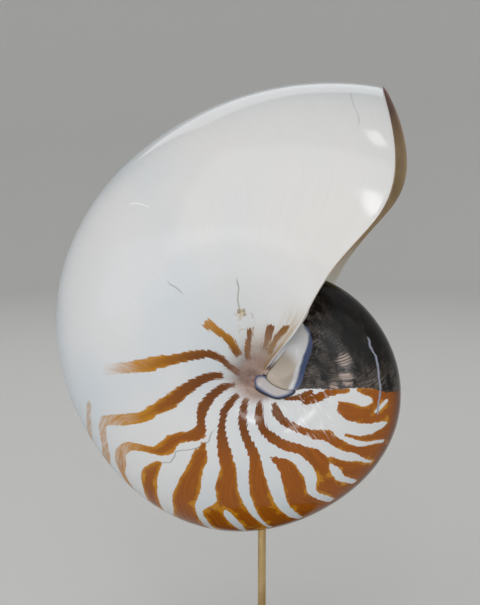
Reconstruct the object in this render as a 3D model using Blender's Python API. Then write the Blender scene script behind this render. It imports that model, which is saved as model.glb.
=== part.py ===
"""A nautilus shell resting on a brass rod that stands in a plain turned base.

Metres, +Z up, origin in the middle of the foot. The shell coils about an axis parallel to Y. An angle of
growth is in degrees and counts the way the shell grew: 0 is +X, 90 is down, 180 is -X and 270 is up, and
the lip is at the end of the last whorl. A place on a whorl's section runs from 0 at the venter, its outer
edge, over the flank to 1 at the umbilicus, its hub, and is negative on the -Y side.
"""

import math

import bmesh
import bpy
import numpy as np

# Spiral
LIP_ANGLE = 291.3
LIP_RADIUS = 0.1089
WHORL_EXPANSION = 2.916  # how much larger the radius is one whorl later
SWELL_STEP = 45.0  # degrees between the values of SWELL
SWELL = (0.0, 0.002, 0.022, -0.017, 0.018, -0.001, 0.013, -0.015, 0.0)  # venter outside an even spiral

# Whorl section, as fractions of the venter's radius: distance from the coiling axis, half width
SECTION = (
    (1.000, 0.000),
    (0.975, 0.111),
    (0.880, 0.228),
    (0.700, 0.323),
    (0.480, 0.376),
    (0.280, 0.371),
    (0.120, 0.313),
    (0.030, 0.249),
)
LIP_LEAD = (0.0, 2.6, 8.7, 13.6, 12.5, 11.9, 13.2, -2.7)  # degrees the lip leads, venter to umbilicus

# Hub, where the whorls close over the coiling axis
HUB_START = 0.86  # place where the flank begins to bend into the hub
HUB_EDGE = 0.975  # place of the hub's own small circle
HUB_WHORL_RADIUS = 0.065
HUB_HEIGHT = 0.0225  # half width of the shell at the hub

# Pads beside the hub on each side: centre X and Z from the axis, half length, half width, tilt in degrees,
# half width of the shell on top of the pad, and the share of the pad that is its rounded edge
DIMPLE = (-0.0030, 0.0005, 0.0055, 0.0045, 0.0, 0.0185, 1.0)
LOWER_CALLUS = (0.0050, -0.0040, 0.0085, 0.0052, -25.0, 0.0198, 0.6)
UPPER_CALLUS = (0.0090, 0.0068, 0.0150, 0.0084, 60.0, 0.0215, 0.6)
PAD_MERGE = 0.03  # section length beside the hub over which the pads reach the end of the lip
CALLUS_FADE = (130.0, 220.0)  # degrees past the lip over which the callus stops

# Body chamber
WALL = 0.0016
LIP_TAPER = 0.035  # section length over which the wall thins where the lip ends at the hub
LIP_TAPER_SWEEP = 4.0  # degrees over which it thins from inside
CHAMBER_SWEEP = 130.0  # degrees from the lip back to the last septum
CHAMBER_CROWDING = 1.25  # how much closer together the chamber's rows stand near the lip
STRAIGHTEN_SWEEP = 40.0  # degrees over which the lip's curve straightens out inside
CORNER_SWEEP = 28.0  # degrees over which the chamber's corner moves off the hub
CORNER_PLACE = 0.84  # place of the chamber's corner, deep inside
CORNER_FILLET = 0.35  # share of the chamber's floor, from the venter, that the corner leaves alone
SEPTUM_DISH = 14.0  # degrees that the septum bulges back

# Stand
ROD_RADIUS = 0.0015
ROD_DEPTH = 0.014  # how far the rod goes up into the shell
ROD_FOOT = 0.0045  # the height of its lower end
ROD_EXPOSED = 0.052
ROD_EDGE = 0.0003
AXIS_BESIDE_ROD = 0.003  # the coiling axis stands this far along +X from the rod
BASE_RADIUS = 0.045
BASE_HEIGHT = 0.018
BASE_EDGE = 0.002
RECESS_RADIUS = 0.0075
RECESS_DEPTH = 0.007
WASHER_RADIUS = 0.005
WASHER_THICKNESS = 0.001
NUT_ACROSS_FLATS = 0.0055
NUT_THICKNESS = 0.0024
FELT_RADIUS = 0.042
FELT_THICKNESS = 0.002
GAP = 0.0003  # left between pieces that touch
BORE_RADIUS = ROD_RADIUS + GAP
BASE_BOTTOM = FELT_THICKNESS + GAP
BASE_TOP = BASE_BOTTOM + BASE_HEIGHT
SHELL_BOTTOM = BASE_TOP + ROD_EXPOSED

# Mesh
ROUND_STEPS = 64  # around the last whorl
FLANK_STEPS = 18  # from the venter to the hub, each side
HUB_CROWDING = 1.5  # how much closer together those stand near the hub
HUB_STEPS = 2
CHAMBER_STEPS = 22
SEPTUM_STEPS = 4
BASE_STEPS = 48
SMALL_STEPS = 24
SHARP_ANGLE = 40.0


def smoothstep(t):
    t = np.clip(t, 0.0, 1.0)
    return t * t * (3.0 - 2.0 * t)


def natural_spline(knots, values):
    """The smooth curve through the values at the knots, as a function."""
    knots = np.asarray(knots, float)
    values = np.asarray(values, float)
    spans = np.diff(knots)
    system = np.eye(len(knots))
    bends = np.zeros_like(values)
    for i in range(1, len(knots) - 1):
        system[i, i - 1 : i + 2] = spans[i - 1], 2.0 * (spans[i - 1] + spans[i]), spans[i]
        after = (values[i + 1] - values[i]) / spans[i]
        before = (values[i] - values[i - 1]) / spans[i - 1]
        bends[i] = 6.0 * (after - before)
    bends = np.linalg.solve(system, bends)

    def at(t):
        i = np.clip(np.searchsorted(knots, t) - 1, 0, len(knots) - 2)
        span = spans[i]
        late = (t - knots[i]) / span
        early = 1.0 - late
        if values.ndim > 1:
            span, late, early = span[..., None], late[..., None], early[..., None]
        curve = (early**3 - early) * bends[i] + (late**3 - late) * bends[i + 1]
        return early * values[i] + late * values[i + 1] + curve * span**2 / 6.0

    return at


def section_curve():
    """The whole section, mirrored about the venter, over its length from -1 to 1."""
    half = np.array(SECTION)
    lengths = np.hypot(*np.diff(half, axis=0).T)
    places = np.concatenate([[0.0], np.cumsum(lengths)]) / lengths.sum()
    mirrored = half[:0:-1] * (1.0, -1.0)
    return natural_spline(np.concatenate([-places[:0:-1], places]), np.concatenate([mirrored, half]))


def swell_curve():
    """The swell over the angle of growth, none of it before the last whorl or beyond the lip."""
    before, after = 4, 2
    knots = LIP_ANGLE + SWELL_STEP * np.arange(1 - len(SWELL) - before, 1 + after)
    return natural_spline(knots, (0.0,) * before + SWELL + (0.0,) * after)


def lead_curve():
    knots = np.linspace(-1.0, 1.0, 2 * len(LIP_LEAD) - 1)
    return natural_spline(knots, LIP_LEAD[:0:-1] + LIP_LEAD)


section_at = section_curve()
swell_at = swell_curve()
lead_at = lead_curve()


def venter_radius(angle):
    turns = (angle - LIP_ANGLE) / 360.0
    return LIP_RADIUS * WHORL_EXPANSION**turns * (1.0 + swell_at(angle))


def venter_under_axis():
    """How far the venter is below the coiling axis, straight above the rod."""
    angles = np.linspace(80.0, 110.0, 301)
    radii = venter_radius(angles)
    above_rod = np.argmin(np.abs(radii * np.cos(np.radians(angles)) + AXIS_BESIDE_ROD))
    return float(radii[above_rod] * math.sin(math.radians(angles[above_rod])))


AXIS = np.array([AXIS_BESIDE_ROD, 0.0, SHELL_BOTTOM + venter_under_axis()])


def to_space(out, width, angle):
    """World points from a distance from the axis, a signed half width and an angle of growth."""
    turn = np.radians(angle)
    return np.stack([AXIS[0] + out * np.cos(turn), width, AXIS[2] - out * np.sin(turn)], axis=-1)


def flank(place, angle):
    """Distance from the axis and signed half width of the whorl's outside."""
    fraction = section_at(place)
    radius = venter_radius(angle)
    hub = smoothstep((np.abs(place) - HUB_START) / (HUB_EDGE - HUB_START))
    out = fraction[..., 0] * radius ** (1.0 - hub) * HUB_WHORL_RADIUS**hub
    width = fraction[..., 1] * radius * (1.0 - hub) + np.sign(place) * HUB_HEIGHT * hub
    return out, width


def with_pad(width, out, angle, shape, weight):
    """Brings the half width to a pad's own inside its ellipse, over its rounded edge."""
    centre_x, centre_z, half_length, half_width, tilt, height, edge = shape
    x = out * np.cos(np.radians(angle)) - centre_x
    z = -out * np.sin(np.radians(angle)) - centre_z
    cosine, sine = math.cos(math.radians(tilt)), math.sin(math.radians(tilt))
    reach = np.hypot((x * cosine + z * sine) / half_length, (z * cosine - x * sine) / half_width)
    share = smoothstep((1.0 - reach) / edge) * weight
    return width + (height - width) * share


def with_hub_pads(width, out, angle, weight):
    width = with_pad(width, out, angle, DIMPLE, 1.0)
    width = with_pad(width, out, angle, LOWER_CALLUS, weight)
    return with_pad(width, out, angle, UPPER_CALLUS, weight)


def outside(place, angle, past_lip):
    """The outer surface, with the callus beside the hub where it is less than half a whorl past the lip."""
    out, width = flank(place, angle)
    fade_start, fade_end = CALLUS_FADE
    near_lip = 1.0 - smoothstep((past_lip - fade_start) / (fade_end - fade_start))
    at_hub = smoothstep((np.abs(place) - HUB_EDGE + PAD_MERGE) / PAD_MERGE)
    weight = near_lip + (1.0 - near_lip) * at_hub
    return out, np.sign(place) * with_hub_pads(np.abs(width), out, angle, weight)


def inside(place, angle, depth):
    """The inner face of the wall; the wall thins to nothing where the lip ends at the hub."""
    step = 0.002
    whole_turn = np.full_like(place, 360.0)
    out, width = outside(place, angle, whole_turn)
    ahead = outside(place + step, angle, whole_turn)
    behind = outside(place - step, angle, whole_turn)
    along_out = ahead[0] - behind[0]
    along_width = ahead[1] - behind[1]
    taper = np.clip((HUB_EDGE - np.abs(place)) / LIP_TAPER + depth / LIP_TAPER_SWEEP, 0.0, 1.0)
    offset = WALL * taper / np.hypot(along_out, along_width)
    return out - offset * along_width, width + offset * along_out


def chamber_rows(shares):
    """Rows of the body chamber from the lip to the septum: the wall's inner face, and the floor beneath."""
    walls, floors = [], []
    fine = np.linspace(0.0, HUB_EDGE, 400)
    beginning = np.zeros_like(fine)
    for depth in np.linspace(0.0, 1.0, CHAMBER_STEPS + 1) ** CHAMBER_CROWDING * CHAMBER_SWEEP:
        curl = 1.0 - smoothstep(np.array(depth / STRAIGHTEN_SWEEP))
        moved = math.sin(math.pi / 2.0 * min(depth / CORNER_SWEEP, 1.0))
        places = shares * (HUB_EDGE + (CORNER_PLACE - HUB_EDGE) * moved)
        angle = LIP_ANGLE + curl * lead_at(places) - depth
        wall_out, wall_width = inside(places, angle, depth)
        walls.append(to_space(wall_out, wall_width, angle))
        fine_out = outside(fine, np.full_like(fine, angle[-1] - 360.0), beginning)[0]
        corner = HUB_EDGE if depth == 0.0 else np.interp(-wall_out[-1], -fine_out, fine)
        places = shares * corner
        angle = LIP_ANGLE + curl * lead_at(places) - depth - 360.0
        out, width = outside(places, angle, np.zeros_like(places))
        fillet = smoothstep((np.abs(shares) - CORNER_FILLET) / (1.0 - CORNER_FILLET))
        width += np.sign(shares) * (wall_width[-1] - width[-1]) * fillet
        floors.append(to_space(out, width, angle))
    return walls, floors


class Skin:
    """A mesh made of rows of points, each row joined to the next."""

    def __init__(self):
        self.mesh = bmesh.new()

    def row(self, points):
        return [self.mesh.verts.new([float(value) for value in point]) for point in points]

    def join(self, first, second, closed=False):
        count = len(first)
        for i in range(count if closed else count - 1):
            n = (i + 1) % count
            corners = list(dict.fromkeys([first[i], first[n], second[n], second[i]]))
            if len(corners) > 2:
                self.mesh.faces.new(corners)

    def join_all(self, rows):
        for first, second in zip(rows, rows[1:]):
            self.join(first, second)


def build_shell():
    """The shell as one closed surface: last whorl, hubs, lip, body chamber and septum."""
    skin = Skin()
    shares = np.linspace(-1.0, 1.0, 2 * FLANK_STEPS + 1)
    shares = np.sign(shares) * (1.0 - (1.0 - np.abs(shares)) ** HUB_CROWDING)
    places = shares * HUB_EDGE
    points = []
    for turn in np.linspace(0.0, 360.0, ROUND_STEPS + 1):
        angle = LIP_ANGLE + lead_at(places) - 360.0 + turn
        points.append(to_space(*outside(places, angle, np.full_like(angle, turn)), angle))
    whorl = [skin.row(row) for row in points[:-1]]
    whorl.append([whorl[0][0], *skin.row(points[-1][1:-1]), whorl[0][-1]])
    skin.join_all(whorl)
    for side in (0, -1):
        close_hub(skin, [row[side] for row in whorl[:-1]], -1.0 if side == 0 else 1.0)

    wall_points, floor_points = chamber_rows(shares)
    walls = [[whorl[0][0], *skin.row(wall_points[0][1:-1]), whorl[0][-1]]]
    floors = [whorl[0]]
    for wall, floor in zip(wall_points[1:], floor_points[1:]):
        walls.append(skin.row(wall))
        floors.append([walls[-1][0], *skin.row(floor[1:-1]), walls[-1][-1]])
    skin.join(whorl[-1], walls[0])
    skin.join_all(walls)
    skin.join_all(floors)
    close_septum(skin, walls[-1], floors[-1])
    return finish(skin.mesh, "shell", material("shell_white", (0.58, 0.57, 0.55), 0.25))


def close_hub(skin, ring, side):
    """The middle of the hub, inside its small circle, on one side."""
    angles = LIP_ANGLE + lead_at(np.array(HUB_EDGE)) + np.linspace(0.0, 360.0, ROUND_STEPS, endpoint=False)
    edge_out = flank(np.array(HUB_EDGE), np.array(LIP_ANGLE))[0]
    for step in range(1, HUB_STEPS + 2):
        out = np.full_like(angles, edge_out * (1.0 - step / (HUB_STEPS + 1)))
        width = with_hub_pads(np.full_like(angles, HUB_HEIGHT), out, angles, 1.0)
        points = to_space(out, side * width, angles)
        in_middle = step > HUB_STEPS
        next_ring = skin.row(points[:1]) * len(ring) if in_middle else skin.row(points)
        skin.join(ring, next_ring, closed=True)
        ring = next_ring


def close_septum(skin, wall, floor):
    """The last septum, from the chamber's wall to its floor, bulging back in the middle."""
    across = 1.0 - np.linspace(-1.0, 1.0, len(wall)) ** 2
    rows = [wall]
    for share in np.linspace(0.0, 1.0, SEPTUM_STEPS + 1)[1:-1]:
        points = []
        for top, bottom, middle in zip(wall, floor, across):
            arm = np.array(top.co) * (1.0 - share) + np.array(bottom.co) * share - AXIS
            back = math.radians(SEPTUM_DISH) * 4.0 * share * (1.0 - share) * middle
            points.append(AXIS + turned_back(arm, back))
        rows.append([wall[0], *skin.row(points[1:-1]), wall[-1]])
    skin.join_all([*rows, floor])


def turned_back(arm, back):
    """An arm from the coiling axis, turned against the way of growth."""
    cosine, sine = math.cos(back), math.sin(back)
    return np.array([arm[0] * cosine - arm[2] * sine, arm[1], arm[0] * sine + arm[2] * cosine])


def material(name, colour, roughness, metallic=0.0):
    mat = bpy.data.materials.new(name)
    mat.use_nodes = True
    shader = mat.node_tree.nodes["Principled BSDF"]
    shader.inputs["Base Color"].default_value = (*colour, 1.0)
    shader.inputs["Roughness"].default_value = roughness
    shader.inputs["Metallic"].default_value = metallic
    return mat


def finish(mesh, name, mat):
    bmesh.ops.recalc_face_normals(mesh, faces=mesh.faces)
    data = bpy.data.meshes.new(name)
    mesh.to_mesh(data)
    mesh.free()
    data.materials.append(mat)
    data.shade_smooth()
    data.set_sharp_from_angle(angle=math.radians(SHARP_ANGLE))
    obj = bpy.data.objects.new(name, data)
    bpy.context.scene.collection.objects.link(obj)
    return obj


def turned_solid(name, profile, steps, mat):
    """A solid turned about +Z from its closed profile of radius and height."""
    skin = Skin()
    profile = np.array(profile)
    rings = []
    for turn in np.linspace(0.0, 2.0 * math.pi, steps, endpoint=False):
        x, y = profile[:, 0] * math.cos(turn), profile[:, 0] * math.sin(turn)
        rings.append(skin.row(np.stack([x, y, profile[:, 1]], axis=-1)))
    for i, ring in enumerate(rings):
        skin.join(ring, rings[(i + 1) % steps], closed=True)
    bmesh.ops.remove_doubles(skin.mesh, verts=skin.mesh.verts, dist=1e-7)
    return finish(skin.mesh, name, mat)


def build_rod(mat):
    top = SHELL_BOTTOM + ROD_DEPTH
    neck = ROD_RADIUS - ROD_EDGE
    profile = [
        (0.0, ROD_FOOT),
        (neck, ROD_FOOT),
        (ROD_RADIUS, ROD_FOOT + ROD_EDGE),
        (ROD_RADIUS, top - ROD_EDGE),
        (neck, top),
        (0.0, top),
    ]
    turned_solid("rod", profile, SMALL_STEPS, mat)


def build_base(mat):
    """The turned disc, bored for the rod and recessed beneath for its nut."""
    recess_top = BASE_BOTTOM + RECESS_DEPTH
    profile = [
        (BORE_RADIUS, BASE_TOP),
        (BORE_RADIUS, recess_top),
        (RECESS_RADIUS, recess_top),
        (RECESS_RADIUS, BASE_BOTTOM),
        (BASE_RADIUS - BASE_EDGE / 2.0, BASE_BOTTOM),
        (BASE_RADIUS, BASE_BOTTOM + BASE_EDGE / 2.0),
        (BASE_RADIUS, BASE_TOP - BASE_EDGE),
        (BASE_RADIUS - BASE_EDGE, BASE_TOP),
    ]
    turned_solid("base", profile, BASE_STEPS, mat)


def build_fastener(mat):
    """The washer against the recess's ceiling, and the nut under it."""
    top = BASE_BOTTOM + RECESS_DEPTH - GAP
    low = top - WASHER_THICKNESS
    profile = [(BORE_RADIUS, low), (WASHER_RADIUS, low), (WASHER_RADIUS, top), (BORE_RADIUS, top)]
    turned_solid("washer", profile, SMALL_STEPS, mat)
    build_nut(low - GAP - NUT_THICKNESS, low - GAP, mat)


def build_nut(low, high, mat):
    """A hex nut: six flats outside, a round bore inside."""
    skin = Skin()
    rings = []
    turns = np.linspace(0.0, 2.0 * math.pi, SMALL_STEPS, endpoint=False)
    off_flat = np.abs((turns + math.pi / 6.0) % (math.pi / 3.0) - math.pi / 6.0)
    flats = NUT_ACROSS_FLATS / 2.0 / np.cos(math.pi / 6.0 - off_flat)
    bore = np.full_like(turns, BORE_RADIUS)
    for radii, height in ((bore, low), (flats, low), (flats, high), (bore, high)):
        heights = np.full_like(turns, height)
        rings.append(skin.row(np.stack([radii * np.cos(turns), radii * np.sin(turns), heights], axis=-1)))
    for i, ring in enumerate(rings):
        skin.join(ring, rings[(i + 1) % len(rings)], closed=True)
    finish(skin.mesh, "nut", mat)


def build_felt(mat):
    profile = [(0.0, 0.0), (FELT_RADIUS, 0.0), (FELT_RADIUS, FELT_THICKNESS), (0.0, FELT_THICKNESS)]
    turned_solid("felt_pad", profile, BASE_STEPS, mat)


def drill_for_rod(shell):
    low = SHELL_BOTTOM - 0.01
    high = SHELL_BOTTOM + ROD_DEPTH + GAP
    profile = [(0.0, low), (BORE_RADIUS, low), (BORE_RADIUS, high), (0.0, high)]
    hole = turned_solid("rod_hole", profile, SMALL_STEPS, shell.data.materials[0])
    hole.hide_render = True
    hole.display_type = "WIRE"
    boolean = shell.modifiers.new("drill", "BOOLEAN")
    boolean.operation = "DIFFERENCE"
    boolean.solver = "EXACT"
    boolean.object = hole


def main():
    for obj in list(bpy.data.objects):
        bpy.data.objects.remove(obj, do_unlink=True)
    drill_for_rod(build_shell())
    build_rod(material("brass", (0.60, 0.44, 0.25), 0.3, 1.0))
    build_base(material("dark_wood", (0.045, 0.024, 0.014), 0.4))
    build_fastener(material("steel", (0.55, 0.56, 0.57), 0.35, 1.0))
    build_felt(material("felt", (0.02, 0.03, 0.025), 0.95))


main()
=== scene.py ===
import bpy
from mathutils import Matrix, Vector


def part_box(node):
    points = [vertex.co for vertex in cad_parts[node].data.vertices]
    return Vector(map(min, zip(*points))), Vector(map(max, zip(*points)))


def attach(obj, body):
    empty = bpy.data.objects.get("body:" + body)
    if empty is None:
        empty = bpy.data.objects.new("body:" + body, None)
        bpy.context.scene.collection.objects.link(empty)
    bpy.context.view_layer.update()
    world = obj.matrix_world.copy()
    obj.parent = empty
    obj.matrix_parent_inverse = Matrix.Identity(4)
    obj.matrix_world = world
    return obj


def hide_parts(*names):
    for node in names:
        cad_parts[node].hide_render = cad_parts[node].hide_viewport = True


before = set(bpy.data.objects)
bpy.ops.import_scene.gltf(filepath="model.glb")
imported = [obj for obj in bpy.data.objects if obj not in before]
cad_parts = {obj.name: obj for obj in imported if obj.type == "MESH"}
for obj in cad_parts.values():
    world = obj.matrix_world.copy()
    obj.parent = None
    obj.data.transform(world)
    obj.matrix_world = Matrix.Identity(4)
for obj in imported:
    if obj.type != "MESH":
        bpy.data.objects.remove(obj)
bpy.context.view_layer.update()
print("frame loaded:", ", ".join(sorted(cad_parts)))

import functools
import math

import bpy
import numpy as np
from mathutils import Vector

# A nautilus shell on a brass rod in a turned wooden base, in metres and the frame's own axes.
# An angle of growth counts the way the shell grew, in degrees: 0 is +X, 90 down, 180 -X and 270 up.
# A place runs across a whorl from 0 at the venter, its outer edge, to 1 at the umbilicus, its hub.
# It is negative on the -Y side, the one that faces the camera.


# small helpers

def linearColour(hexCode):
    parts = [int(hexCode[i:i + 2], 16) / 255 for i in (1, 3, 5)]
    return (*[c / 12.92 if c <= 0.04045 else ((c + 0.055) / 1.055) ** 2.4 for c in parts], 1.0)


def addNode(tree, kind, inputs=(), output=None, stops=(), **settings):
    # a node with its settings, a ramp's stops, and its inputs by name or in order, each a socket, a value
    # or a colour; gives one of its outputs
    node = tree.nodes.new("ShaderNode" + kind)
    for name, value in settings.items():
        setattr(node, name, value)
    sockets = [socket for socket in node.inputs if socket.enabled]
    for key, value in inputs.items() if isinstance(inputs, dict) else enumerate(inputs):
        socket = node.inputs[key] if isinstance(key, str) else sockets[key]
        if isinstance(value, bpy.types.NodeSocket):
            tree.links.new(value, socket)
        else:
            socket.default_value = linearColour(value) if isinstance(value, str) else value
    for i, (place, colour) in enumerate(stops):
        element = node.color_ramp.elements.new(place) if i > 1 else node.color_ramp.elements[i]
        element.position = place
        element.color = linearColour(colour)
    outputs = [socket for socket in node.outputs if socket.enabled]
    return node.outputs[output] if output else outputs[0] if outputs else None


def newMaterial(name):
    # an empty material, and addNode for it
    mat = bpy.data.materials.new(name)
    mat.use_nodes = True
    mat.node_tree.nodes.clear()
    return mat, functools.partial(addNode, mat.node_tree)


def smoothstep(t):
    t = np.clip(t, 0.0, 1.0)
    return t * t * (3.0 - 2.0 * t)


def naturalSpline(knots, values):
    # the smooth curve through the values at the knots, as a function
    knots, values = np.asarray(knots, float), np.asarray(values, float)
    spans = np.diff(knots)
    system, bends = np.eye(len(knots)), np.zeros_like(values)
    for i in range(1, len(knots) - 1):
        system[i, i - 1:i + 2] = spans[i - 1], 2 * (spans[i - 1] + spans[i]), spans[i]
        bends[i] = 6 * ((values[i + 1] - values[i]) / spans[i] - (values[i] - values[i - 1]) / spans[i - 1])
    bends = np.linalg.solve(system, bends)

    def at(t):
        i = np.clip(np.searchsorted(knots, t) - 1, 0, len(knots) - 2)
        span = spans[i]
        late = (t - knots[i]) / span
        early = 1.0 - late
        if values.ndim > 1:
            span, late, early = span[..., None], late[..., None], early[..., None]
        curve = (early**3 - early) * bends[i] + (late**3 - late) * bends[i + 1]
        return early * values[i] + late * values[i + 1] + curve * span**2 / 6

    return at


def insideOutline(x, z, corners):
    # how far inside a rounded closed outline the points are, negative outside it
    corners = np.array(corners)
    wrapped = np.concatenate([corners[-3:], corners, corners[:4]])
    curve = naturalSpline(np.arange(len(wrapped)) - 3.0, wrapped)
    stepsPerCorner = 12
    ring = curve(np.linspace(0.0, len(corners), stepsPerCorner * len(corners), endpoint=False))
    nearest = np.full(x.shape, 1.0)
    within = np.zeros(x.shape, bool)
    for (ax, az), (bx, bz) in zip(ring, np.roll(ring, -1, axis=0)):
        along = ((x - ax) * (bx - ax) + (z - az) * (bz - az)) / ((bx - ax) ** 2 + (bz - az) ** 2)
        along = np.clip(along, 0.0, 1.0)
        nearest = np.minimum(nearest, np.hypot(x - ax - along * (bx - ax), z - az - along * (bz - az)))
        if az != bz:
            within ^= ((az > z) != (bz > z)) & (x < ax + (bx - ax) * (z - az) / (bz - az))
    return np.where(within, nearest, -nearest)


def gridFaces(rows, closed=False):
    # quads between rows of vertex numbers, without the corners that two rows share
    faces = []
    for first, second in zip(rows, rows[1:]):
        count = len(first)
        for i in range(count if closed else count - 1):
            n = (i + 1) % count
            corners = list(dict.fromkeys((first[i], first[n], second[n], second[i])))
            if len(corners) > 2:
                faces.append(corners)
    return faces


def newPiece(name, points, faces, mats, sharpAngle=40.0):
    data = bpy.data.meshes.new(name)
    data.from_pydata([tuple(p) for p in points], [], faces)
    data.validate()
    for mat in mats:
        data.materials.append(mat)
    data.shade_smooth()
    data.set_sharp_from_angle(angle=math.radians(sharpAngle))
    obj = bpy.data.objects.new(name, data)
    bpy.context.scene.collection.objects.link(obj)
    return obj


def turned(name, profile, steps, mats, closed=True):
    # a piece turned about +Z from its profile of radius and height, which closes unless the piece is a sheet
    points, rings = [], []
    for turn in np.linspace(0.0, 2 * math.pi, steps, endpoint=False):
        ring = []
        for radius, height in profile:
            if radius == 0.0 and rings:
                ring.append(rings[0][len(ring)])
                continue
            ring.append(len(points))
            points.append((radius * math.cos(turn), radius * math.sin(turn), height))
        rings.append(ring)
    return newPiece(name, points, gridFaces([*rings, rings[0]], closed), mats)


def arc(centre, radius, start, end, steps):
    # points of a round edge in a profile, its angles in degrees
    angles = np.radians(np.linspace(start, end, steps + 1))
    return [(centre[0] + radius * math.cos(a), centre[1] + radius * math.sin(a)) for a in angles]


def roundedEdges(radius, low, high, edge, steps):
    # the profile of a solid bar or disc
    return [(0.0, low), *arc((radius - edge, low + edge), edge, -90, 0, steps),
            *arc((radius - edge, high - edge), edge, 0, 90, steps), (0.0, high)]


# the shell's shape

shell = dict(
    besideRod=0.003, aboveBase=0.052,  # the coiling axis from the rod's, and the venter from the base
    lipAngle=291.3, lipRadius=0.1089,
    expansion=2.916,  # how much larger the radius is one whorl later
    swellStep=45.0,  # degrees between the swells
    swells=(0.0, 0.002, 0.022, -0.017, 0.018, -0.001, 0.013, -0.015, 0.0),
    # the whorl's half section: distance from the coiling axis and half width, over the venter's radius
    section=((1.0, 0.0), (0.975, 0.111), (0.88, 0.228), (0.70, 0.323),
             (0.48, 0.376), (0.28, 0.371), (0.12, 0.313), (0.03, 0.249)),
    lipLead=(0.0, 2.6, 8.7, 13.6, 12.5, 11.9, 13.2, -2.7),  # degrees, venter to umbilicus
    hubStart=0.86, hubEdge=0.975, hubWhorlRadius=0.065, hubHeight=0.0225,
    # pads: centre x and z, half length, half width, tilt, half width of the shell on top, rounded share
    dimple=(-0.0030, 0.0005, 0.0055, 0.0045, 0.0, 0.0185, 1.0),
    lowerCallus=(0.0050, -0.0040, 0.0085, 0.0052, -25.0, 0.0198, 0.6),
    upperCallus=(0.0090, 0.0068, 0.0150, 0.0084, 60.0, 0.0215, 0.6),
    padMerge=0.03, callusFade=(130.0, 220.0),
    # outlines of the two callus lobes in millimetres from the coiling axis, seen from -Y
    upperLobe=((2.0, 1.6), (8.0, 10.0), (14.0, 18.2), (16.8, 15.6), (17.4, 10.6),
               (15.4, 4.2), (13.8, -1.2), (11.0, -3.9), (5.6, -2.6)),
    lowerLobe=((-2.6, -1.0), (0.8, 1.6), (5.2, -1.4), (11.2, -4.0), (8.0, -6.2), (3.0, -6.0)),
    lobeRise=0.00030, lobeEdge=0.0007,
    # the lobes lie this near the coiling axis, and this far past the lip or in this band of places by the hub
    lobeReach=0.03, lobeSweep=200.0, lobeBand=0.05,
    wall=0.0011, lipTaper=0.035, lipTaperSweep=4.0, lipBulge=0.9,
    chamberSweep=130.0, chamberCrowding=1.25, straighten=40.0,
    cornerSweep=28.0, cornerPlace=0.84, cornerFillet=0.35, septumDish=14.0,
    funnelDepth=4.0, funnelWidth=0.035, funnelHeight=0.07,  # degrees, and shares of the septum
    # growth ridges: their depth over the radius, a spacing in degrees, how many fine and how many broad ones
    # lie in it, the fine ones' share, and the degrees over which they fade in
    ridges=0.0007, ridgeSpacing=2.4, fineRidges=2.3, broadRidges=0.7, fineShare=0.45, ridgeFade=6.0,
    roundSteps=420, flankSteps=56, hubCrowding=1.5, hubSteps=8,
    chamberSteps=100, lipSteps=4, septumSteps=16,
)
rodHole = dict(clearance=0.00015, headroom=0.0003, steps=48)

rodLow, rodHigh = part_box("rod")
rodRadius = (rodHigh[0] - rodLow[0]) / 2
baseLow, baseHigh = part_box("base")
shellLow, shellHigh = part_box("shell")


def mirroredCurve(values, odd):
    values = np.array(values, float)
    flip = np.array([1.0, -1.0]) if odd else 1.0
    return np.concatenate([values[:0:-1] * flip, values])


sectionLengths = np.hypot(*np.diff(np.array(shell["section"]), axis=0).T)
sectionPlaces = np.concatenate([[0.0], np.cumsum(sectionLengths)]) / sectionLengths.sum()
sectionAt = naturalSpline(np.concatenate([-sectionPlaces[:0:-1], sectionPlaces]),
                          mirroredCurve(shell["section"], True))
leadAt = naturalSpline(np.linspace(-1.0, 1.0, 2 * len(shell["lipLead"]) - 1),
                       mirroredCurve(shell["lipLead"], False))
swellKnots = shell["lipAngle"] + shell["swellStep"] * np.arange(-3 - len(shell["swells"]), 3)
swellAt = naturalSpline(swellKnots, (0.0,) * 4 + shell["swells"] + (0.0,) * 2)


def venterRadius(angle):
    turns = (angle - shell["lipAngle"]) / 360.0
    return shell["lipRadius"] * shell["expansion"] ** turns * (1.0 + swellAt(angle))


def coilingAxis():
    # straight above the rod, the venter rests at its height above the base
    angles = np.linspace(80.0, 110.0, 301)
    radii = venterRadius(angles)
    aboveRod = np.argmin(np.abs(radii * np.cos(np.radians(angles)) + shell["besideRod"]))
    below = radii[aboveRod] * math.sin(math.radians(angles[aboveRod]))
    return np.array([shell["besideRod"], 0.0, baseHigh[2] + shell["aboveBase"] + below])


axis = coilingAxis()
ridgeDraws = np.random.default_rng(5).random(400)


def ridgeDepth(pastLip):
    # shallow grooves between growth lines, inwards only, dying out where the last whorl begins
    at = np.clip(pastLip / shell["ridgeSpacing"], 0.0, 360.0 / shell["ridgeSpacing"])
    knots = np.arange(len(ridgeDraws))
    fine = np.interp(at * shell["fineRidges"], knots, ridgeDraws)
    broad = np.interp(at * shell["broadRidges"], knots, ridgeDraws[::-1])
    depth = shell["fineShare"] * fine + (1.0 - shell["fineShare"]) * broad
    return shell["ridges"] * depth * smoothstep(pastLip / shell["ridgeFade"])


def toSpace(out, width, angle):
    turn = np.radians(angle)
    return np.stack([axis[0] + out * np.cos(turn), width, axis[2] - out * np.sin(turn)], axis=-1)


def flank(place, angle, pastLip):
    fraction = sectionAt(place)
    hub = smoothstep((np.abs(place) - shell["hubStart"]) / (shell["hubEdge"] - shell["hubStart"]))
    radius = venterRadius(angle) * (1.0 - ridgeDepth(pastLip) * (1.0 - hub))
    out = fraction[..., 0] * radius ** (1.0 - hub) * shell["hubWhorlRadius"] ** hub
    width = fraction[..., 1] * radius * (1.0 - hub) + np.sign(place) * shell["hubHeight"] * hub
    return out, width


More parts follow.
